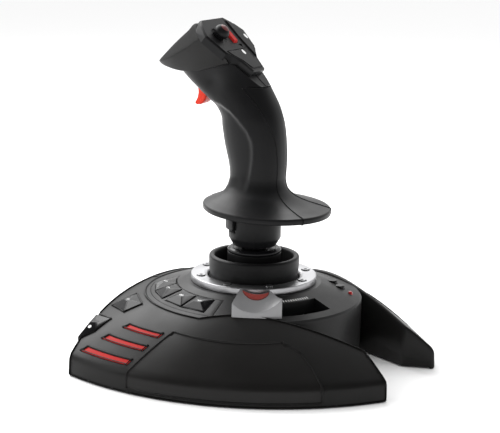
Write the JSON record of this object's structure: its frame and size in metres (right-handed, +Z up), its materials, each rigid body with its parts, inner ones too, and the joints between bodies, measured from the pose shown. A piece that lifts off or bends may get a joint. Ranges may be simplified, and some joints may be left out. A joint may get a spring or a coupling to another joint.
{
  "type": "flight joystick",
  "caption": "Desk flight joystick with a tilting, twisting pistol grip, hat and trigger, on a two-winged base with a curved-slot throttle lever.",
  "frame": {"origin": "on the table under the stick's twist axis, at the centre of the middle foot", "axes": "+Y forward, away from the player; +X to the player's right; +Z up along the upright stick"},
  "size_m": [0.2216, 0.1997, 0.2224],
  "materials": {
    "shell_plastic": "fine grained black",
    "turret_plastic": "fine grained charcoal",
    "panel_plastic": "satin charcoal",
    "grip_plastic": "soft satin black",
    "button_gloss": "glossy black",
    "accent_red": "translucent red",
    "trigger_red": "glossy orange red",
    "silver_metal": "satin",
    "lever_silver": "silver lacquer",
    "cup_rubber": "matte",
    "foot_rubber": "matte",
    "steel": "zinc plated",
    "ballast_iron": "rough",
    "frame_plastic": "moulded acetal",
    "board": "solder resist",
    "lens": "tinted clear"
  },
  "bodies": {
    "base": {"base_shell": "shell_plastic", "side_panel_left": "panel_plastic", "side_panel_right": "panel_plastic", "accent_strips": "accent_red", "base_plate": "frame_plastic", "base_screws": "steel", "rubber_feet": "foot_rubber", "ballast_weights": "ballast_iron", "cable_gland": "foot_rubber", "lamp_lens": "lens", "turret_cover": "turret_plastic", "crescent_panel": "turret_plastic", "crescent_board": "board", "wing_boards": "board", "rear_board": "board", "main_board": "board", "trim_ring": "silver_metal", "ring_screws": "steel", "cup_collar": "cup_rubber", "gimbal_housing": "frame_plastic", "roll_sensor": "frame_plastic", "roll_spring": "steel", "throttle_track": "board"},
    "yoke": {"roll_yoke": "frame_plastic", "pitch_sensor": "frame_plastic", "pitch_spring": "steel"},
    "cradle": {"stick_cradle": "frame_plastic", "ball_boot": "button_gloss", "collar_ring": "button_gloss"},
    "grip": {"neck_collar": "grip_plastic", "twist_spring": "steel", "twist_sensor": "frame_plastic", "grip_left": "grip_plastic", "grip_right": "grip_plastic", "palm_cover": "grip_plastic", "nose_shell": "shell_plastic", "thumb_plate": "grip_plastic", "head_board": "board", "trigger_pin": "steel"},
    "lock": {"lock_slider": "grip_plastic"},
    "trigger": {"trigger": "trigger_red"},
    "hat_stalk": {"hat_pivot": "frame_plastic"},
    "hat": {"hat_cap": "grip_plastic"},
    "thumb_red": {"thumb_button_red": "accent_red"},
    "thumb_left": {"thumb_button_left": "grip_plastic"},
    "thumb_right": {"thumb_button_right": "grip_plastic"},
    "throttle": {"throttle_carrier": "frame_plastic", "throttle_lever": "lever_silver", "throttle_pad": "accent_red"},
    "preset": {"preset_button": "button_gloss"},
    "mapping": {"mapping_button": "button_gloss"},
    "crescent_1": {"crescent_button_1": "button_gloss"},
    "wing_1": {"wing_button_1": "button_gloss"},
    "crescent_2": {"crescent_button_2": "button_gloss"},
    "wing_2": {"wing_button_2": "button_gloss"},
    "crescent_3": {"crescent_button_3": "button_gloss"},
    "wing_3": {"wing_button_3": "button_gloss"},
    "crescent_4": {"crescent_button_4": "button_gloss"},
    "wing_4": {"wing_button_4": "button_gloss"}
  },
  "joints": [
    {"name": "roll", "type": "hinge", "parent": "base", "child": "yoke", "pos_m": [0, 0, 0.045], "axis": [0, 1, 0], "range_deg": [-12, 12], "stiffness_Nm_per_rad": 1.4},
    {"name": "pitch", "type": "hinge", "parent": "yoke", "child": "cradle", "pos_m": [0, 0, 0.045], "axis": [1, 0, 0], "range_deg": [-12, 12], "stiffness_Nm_per_rad": 1.4},
    {"name": "twist", "type": "hinge", "parent": "cradle", "child": "grip", "pos_m": [0, 0, 0.09], "axis": [0, 0, 1], "range_deg": [-15, 15], "stiffness_Nm_per_rad": 0.4},
    {"name": "twist_lock", "type": "slide", "parent": "grip", "child": "lock", "axis": [0, 0, -1], "range_m": [0, 0.0014]},
    {"name": "trigger_pull", "type": "hinge", "parent": "grip", "child": "trigger", "pos_m": [0, 0.037, 0.181], "axis": [-1, 0, 0], "range_deg": [0, 8], "stiffness_Nm_per_rad": 0.1, "springref_deg": -5.73},
    {"name": "hat_along", "type": "hinge", "parent": "grip", "child": "hat_stalk", "pos_m": [-0.0095, 0.02465, 0.21298], "axis": [1, 0, 0], "range_deg": [-9, 9], "stiffness_Nm_per_rad": 0.02},
    {"name": "hat_across", "type": "hinge", "parent": "hat_stalk", "child": "hat", "pos_m": [-0.0095, 0.02465, 0.21298], "axis": [0, -0.7649, -0.6441], "range_deg": [-9, 9], "stiffness_Nm_per_rad": 0.02},
    {"name": "throttle", "type": "hinge", "parent": "base", "child": "throttle", "pos_m": [0, 0, 0.04], "axis": [0, 0, 1], "range_deg": [0, 31]},
    {"name": "press_thumb_red", "type": "slide", "parent": "grip", "child": "thumb_red", "axis": [0, 0.6441, -0.7649], "range_m": [0, 0.0008], "stiffness_N_per_m": 400, "springref_m": -0.0005},
    {"name": "press_thumb_left", "type": "slide", "parent": "grip", "child": "thumb_left", "axis": [0, 0.6441, -0.7649], "range_m": [0, 0.0008], "stiffness_N_per_m": 400, "springref_m": -0.0005},
    {"name": "press_thumb_right", "type": "slide", "parent": "grip", "child": "thumb_right", "axis": [0, 0.6441, -0.7649], "range_m": [0, 0.0008], "stiffness_N_per_m": 400, "springref_m": -0.0005},
    {"name": "press_crescent_1", "type": "slide", "parent": "base", "child": "crescent_1", "axis": [0, 0, -1], "range_m": [0, 0.001], "stiffness_N_per_m": 400, "springref_m": -0.0005},
    {"name": "press_wing_1", "type": "slide", "parent": "base", "child": "wing_1", "axis": [0, 0, -1], "range_m": [0, 0.001], "stiffness_N_per_m": 400, "springref_m": -0.0005},
    {"name": "press_crescent_2", "type": "slide", "parent": "base", "child": "crescent_2", "axis": [0, 0, -1], "range_m": [0, 0.001], "stiffness_N_per_m": 400, "springref_m": -0.0005},
    {"name": "press_wing_2", "type": "slide", "parent": "base", "child": "wing_2", "axis": [0, 0, -1], "range_m": [0, 0.001], "stiffness_N_per_m": 400, "springref_m": -0.0005},
    {"name": "press_crescent_3", "type": "slide", "parent": "base", "child": "crescent_3", "axis": [0, 0, -1], "range_m": [0, 0.001], "stiffness_N_per_m": 400, "springref_m": -0.0005},
    {"name": "press_wing_3", "type": "slide", "parent": "base", "child": "wing_3", "axis": [0, 0, -1], "range_m": [0, 0.001], "stiffness_N_per_m": 400, "springref_m": -0.0005},
    {"name": "press_crescent_4", "type": "slide", "parent": "base", "child": "crescent_4", "axis": [0, 0, -1], "range_m": [0, 0.001], "stiffness_N_per_m": 400, "springref_m": -0.0005},
    {"name": "press_wing_4", "type": "slide", "parent": "base", "child": "wing_4", "axis": [0, 0, -1], "range_m": [0, 0.001], "stiffness_N_per_m": 400, "springref_m": -0.0005},
    {"name": "press_preset", "type": "slide", "parent": "base", "child": "preset", "axis": [0, 0, -1], "range_m": [0, 0.0008], "stiffness_N_per_m": 400, "springref_m": -0.0005},
    {"name": "press_mapping", "type": "slide", "parent": "base", "child": "mapping", "axis": [0, 0, -1], "range_m": [0, 0.0008], "stiffness_N_per_m": 400, "springref_m": -0.0005}
  ]
}
